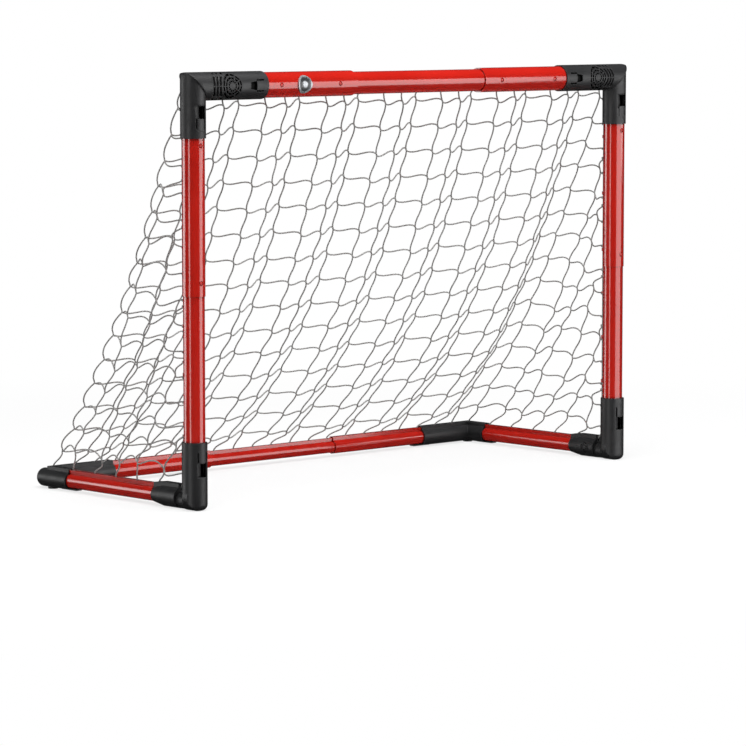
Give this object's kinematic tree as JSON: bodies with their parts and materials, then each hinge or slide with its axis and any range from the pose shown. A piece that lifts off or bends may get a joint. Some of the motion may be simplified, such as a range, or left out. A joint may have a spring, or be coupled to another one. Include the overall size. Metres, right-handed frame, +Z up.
{
  "type": "mini hockey goal",
  "caption": "Knock-down mini hockey goal: tube frame with latching corner connectors and a sloping string net.",
  "frame": {"origin": "on the ground, in the middle of the goal's width and depth", "axes": "+X to the goal's right seen from the mouth, +Y towards the back of the net, +Z up; the mouth faces -Y"},
  "size_m": [0.7112, 0.2936, 0.4912],
  "materials": {
    "tube_paint": "glossy moulded red tube",
    "connector_plastic": "satin charcoal moulding with a fine grain",
    "spring_steel": "spring steel strip with a pressed button",
    "badge": "silver-grey plain badge",
    "hook_plastic": "red snap-in hook",
    "net_string": "twisted grey-white polyester string"
  },
  "bodies": {
    "root": {"top_left_corner": "connector_plastic", "top_right_corner": "connector_plastic", "crossbar_left_tube": "tube_paint", "crossbar_centre_tube": "tube_paint", "crossbar_right_tube": "tube_paint", "left_post_upper_tube": "tube_paint", "left_post_lower_tube": "tube_paint", "right_post_upper_tube": "tube_paint", "right_post_lower_tube": "tube_paint", "front_left_foot": "connector_plastic", "front_right_foot": "connector_plastic", "left_base_coupler": "connector_plastic", "right_base_coupler": "connector_plastic", "left_side_tube": "tube_paint", "right_side_tube": "tube_paint", "rear_left_corner": "connector_plastic", "rear_right_corner": "connector_plastic", "rear_left_tube": "tube_paint", "rear_centre_tube": "tube_paint", "rear_right_tube": "tube_paint", "snap_button_clips": "spring_steel", "crossbar_badge": "badge", "net_hooks": "hook_plastic", "net_back": "net_string", "net_left_side": "net_string", "net_right_side": "net_string", "net_border_cord": "net_string"},
    "top_left_post_latch": {"top_left_post_latch": "connector_plastic"},
    "top_left_bar_latch": {"top_left_bar_latch": "connector_plastic"},
    "front_left_foot_latch": {"front_left_foot_latch": "connector_plastic"},
    "rear_left_side_latch": {"rear_left_side_latch": "connector_plastic"},
    "rear_left_bar_latch": {"rear_left_bar_latch": "connector_plastic"},
    "left_post_top_button": {"left_post_top_button": "spring_steel"},
    "left_post_middle_button": {"left_post_middle_button": "spring_steel"},
    "crossbar_left_outer_button": {"crossbar_left_outer_button": "spring_steel"},
    "crossbar_left_inner_button": {"crossbar_left_inner_button": "spring_steel"},
    "top_right_post_latch": {"top_right_post_latch": "connector_plastic"},
    "top_right_bar_latch": {"top_right_bar_latch": "connector_plastic"},
    "front_right_foot_latch": {"front_right_foot_latch": "connector_plastic"},
    "rear_right_side_latch": {"rear_right_side_latch": "connector_plastic"},
    "rear_right_bar_latch": {"rear_right_bar_latch": "connector_plastic"},
    "right_post_top_button": {"right_post_top_button": "spring_steel"},
    "right_post_middle_button": {"right_post_middle_button": "spring_steel"},
    "crossbar_right_outer_button": {"crossbar_right_outer_button": "spring_steel"},
    "crossbar_right_inner_button": {"crossbar_right_inner_button": "spring_steel"}
  },
  "joints": [
    {"name": "top_left_post_latch_lift", "type": "hinge", "parent": "root", "child": "top_left_post_latch", "pos_m": [-0.3405, -0.14458, 0.4279], "axis": [1, 0, 0], "range_deg": [0, 9], "stiffness_Nm_per_rad": 0.004},
    {"name": "top_left_bar_latch_lift", "type": "hinge", "parent": "root", "child": "top_left_bar_latch", "pos_m": [-0.248, -0.1461, 0.4752], "axis": [0, 0, 1], "range_deg": [0, 9], "stiffness_Nm_per_rad": 0.004},
    {"name": "front_left_foot_latch_lift", "type": "hinge", "parent": "root", "child": "front_left_foot_latch", "pos_m": [-0.3405, -0.14417, 0.0661], "axis": [-1, 0, 0], "range_deg": [0, 9], "stiffness_Nm_per_rad": 0.004},
    {"name": "rear_left_side_latch_lift", "type": "hinge", "parent": "root", "child": "rear_left_side_latch", "pos_m": [-0.3405, 0.10405, 0.0026], "axis": [1, 0, 0], "range_deg": [0, 2.7], "stiffness_Nm_per_rad": 0.004},
    {"name": "rear_left_bar_latch_lift", "type": "hinge", "parent": "root", "child": "rear_left_bar_latch", "pos_m": [-0.267, 0.12625, 0.0026], "axis": [0, 1, 0], "range_deg": [0, 2.7], "stiffness_Nm_per_rad": 0.004},
    {"name": "left_post_top_button_press", "type": "hinge", "parent": "root", "child": "left_post_top_button", "pos_m": [-0.3405, -0.1397, 0.4267], "axis": [1, 0, 0], "range_deg": [0, 7], "stiffness_Nm_per_rad": 0.004},
    {"name": "left_post_middle_button_press", "type": "hinge", "parent": "root", "child": "left_post_middle_button", "pos_m": [-0.3405, -0.1397, 0.2732], "axis": [1, 0, 0], "range_deg": [0, 7], "stiffness_Nm_per_rad": 0.004},
    {"name": "crossbar_left_outer_button_press", "type": "hinge", "parent": "root", "child": "crossbar_left_outer_button", "pos_m": [-0.238, -0.14125, 0.4752], "axis": [0, 0, 1], "range_deg": [0, 7], "stiffness_Nm_per_rad": 0.004},
    {"name": "crossbar_left_inner_button_press", "type": "hinge", "parent": "root", "child": "crossbar_left_inner_button", "pos_m": [-0.114, -0.14125, 0.4752], "axis": [0, 0, -1], "range_deg": [0, 7], "stiffness_Nm_per_rad": 0.004},
    {"name": "top_right_post_latch_lift", "type": "hinge", "parent": "root", "child": "top_right_post_latch", "pos_m": [0.3405, -0.14458, 0.4279], "axis": [1, 0, 0], "range_deg": [0, 9], "stiffness_Nm_per_rad": 0.004},
    {"name": "top_right_bar_latch_lift", "type": "hinge", "parent": "root", "child": "top_right_bar_latch", "pos_m": [0.248, -0.1461, 0.4752], "axis": [0, 0, -1], "range_deg": [0, 9], "stiffness_Nm_per_rad": 0.004},
    {"name": "front_right_foot_latch_lift", "type": "hinge", "parent": "root", "child": "front_right_foot_latch", "pos_m": [0.3405, -0.14417, 0.0661], "axis": [-1, 0, 0], "range_deg": [0, 9], "stiffness_Nm_per_rad": 0.004},
    {"name": "rear_right_side_latch_lift", "type": "hinge", "parent": "root", "child": "rear_right_side_latch", "pos_m": [0.3405, 0.10405, 0.0026], "axis": [1, 0, 0], "range_deg": [0, 2.7], "stiffness_Nm_per_rad": 0.004},
    {"name": "rear_right_bar_latch_lift", "type": "hinge", "parent": "root", "child": "rear_right_bar_latch", "pos_m": [0.267, 0.12625, 0.0026], "axis": [0, -1, 0], "range_deg": [0, 2.7], "stiffness_Nm_per_rad": 0.004},
    {"name": "right_post_top_button_press", "type": "hinge", "parent": "root", "child": "right_post_top_button", "pos_m": [0.3405, -0.1397, 0.4267], "axis": [1, 0, 0], "range_deg": [0, 7], "stiffness_Nm_per_rad": 0.004},
    {"name": "right_post_middle_button_press", "type": "hinge", "parent": "root", "child": "right_post_middle_button", "pos_m": [0.3405, -0.1397, 0.2732], "axis": [1, 0, 0], "range_deg": [0, 7], "stiffness_Nm_per_rad": 0.004},
    {"name": "crossbar_right_outer_button_press", "type": "hinge", "parent": "root", "child": "crossbar_right_outer_button", "pos_m": [0.238, -0.14125, 0.4752], "axis": [0, 0, -1], "range_deg": [0, 7], "stiffness_Nm_per_rad": 0.004},
    {"name": "crossbar_right_inner_button_press", "type": "hinge", "parent": "root", "child": "crossbar_right_inner_button", "pos_m": [0.114, -0.14125, 0.4752], "axis": [0, 0, 1], "range_deg": [0, 7], "stiffness_Nm_per_rad": 0.004}
  ]
}
